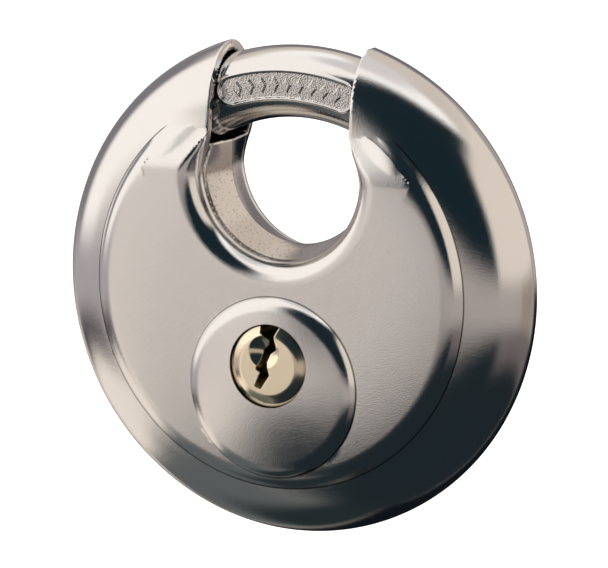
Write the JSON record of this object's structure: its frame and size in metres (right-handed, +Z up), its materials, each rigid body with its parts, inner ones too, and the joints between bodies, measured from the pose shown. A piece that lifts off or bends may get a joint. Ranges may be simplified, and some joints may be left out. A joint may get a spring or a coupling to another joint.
{
  "type": "disc padlock",
  "caption": "Round disc padlock: two welded pressed-steel shells, a curved shackle that swings about the disc's own axis, and a pin tumbler cylinder.",
  "frame": {"origin": "middle of the closed shackle's underside, where a hasp or chain bears", "axes": "+Z up along the line from the disc's centre through the throat, +Y along the disc's axis from the keyed face to the back, +X to the right seen from the keyed face"},
  "size_m": [0.07, 0.0199, 0.0684],
  "materials": {
    "stainless": "polished stainless steel with a satin raised face",
    "hardened_steel": "bright plated hardened steel",
    "brass": "turned brass, lightly polished",
    "die_cast": "die-cast zinc alloy, as cast",
    "plated_steel": "plated steel wire and fasteners"
  },
  "bodies": {
    "case": {"front_shell": "stainless", "rear_shell": "stainless", "front_core": "die_cast", "rear_core": "die_cast", "core_screw_1": "plated_steel", "core_screw_2": "plated_steel", "core_screw_3": "plated_steel", "cylinder_body": "brass", "spring_cover": "brass", "pin_spring_1": "plated_steel", "pin_spring_2": "plated_steel", "pin_spring_3": "plated_steel", "pin_spring_4": "plated_steel"},
    "plug": {"plug": "brass", "plug_clip": "plated_steel", "drive_cam": "hardened_steel", "cam_screw": "plated_steel"},
    "shackle": {"shackle": "hardened_steel", "drive_lug": "hardened_steel", "lug_rivet_1": "plated_steel", "lug_rivet_2": "plated_steel"},
    "key_pin_1": {"key_pin_1": "brass"},
    "driver_pin_1": {"driver_pin_1": "brass"},
    "key_pin_2": {"key_pin_2": "brass"},
    "driver_pin_2": {"driver_pin_2": "brass"},
    "key_pin_3": {"key_pin_3": "brass"},
    "driver_pin_3": {"driver_pin_3": "brass"},
    "key_pin_4": {"key_pin_4": "brass"},
    "driver_pin_4": {"driver_pin_4": "brass"}
  },
  "joints": [
    {"name": "shackle_swing", "type": "hinge", "parent": "case", "child": "shackle", "pos_m": [0, 0, -0.0231], "axis": [0, 1, 0], "range_deg": [0, 56.2]},
    {"name": "plug_turn", "type": "hinge", "parent": "case", "child": "plug", "pos_m": [0, 0, -0.0331], "axis": [0, 1, 0], "range_deg": [0, 96.01]},
    {"name": "key_pin_1_slide", "type": "slide", "parent": "plug", "child": "key_pin_1", "axis": [0, 0, 1], "range_m": [0, 0.0011]},
    {"name": "key_pin_2_slide", "type": "slide", "parent": "plug", "child": "key_pin_2", "axis": [0, 0, 1], "range_m": [0, 0.0011]},
    {"name": "key_pin_3_slide", "type": "slide", "parent": "plug", "child": "key_pin_3", "axis": [0, 0, 1], "range_m": [0, 0.0011]},
    {"name": "key_pin_4_slide", "type": "slide", "parent": "plug", "child": "key_pin_4", "axis": [0, 0, 1], "range_m": [0, 0.0011]},
    {"name": "driver_pin_1_slide", "type": "slide", "parent": "case", "child": "driver_pin_1", "axis": [0, 0, -1], "range_m": [0, 0.0015], "stiffness_N_per_m": 100, "springref_m": -0.001, "deforming": ["pin_spring_1"]},
    {"name": "driver_pin_2_slide", "type": "slide", "parent": "case", "child": "driver_pin_2", "axis": [0, 0, -1], "range_m": [0, 0.0015], "stiffness_N_per_m": 100, "springref_m": -0.001, "deforming": ["pin_spring_2"]},
    {"name": "driver_pin_3_slide", "type": "slide", "parent": "case", "child": "driver_pin_3", "axis": [0, 0, -1], "range_m": [0, 0.0015], "stiffness_N_per_m": 100, "springref_m": -0.001, "deforming": ["pin_spring_3"]},
    {"name": "driver_pin_4_slide", "type": "slide", "parent": "case", "child": "driver_pin_4", "axis": [0, 0, -1], "range_m": [0, 0.0015], "stiffness_N_per_m": 100, "springref_m": -0.001, "deforming": ["pin_spring_4"]}
  ],
  "couplings": [
    {"joint": "plug_turn", "follows": "shackle_swing", "ratio": 1.7082}
  ]
}
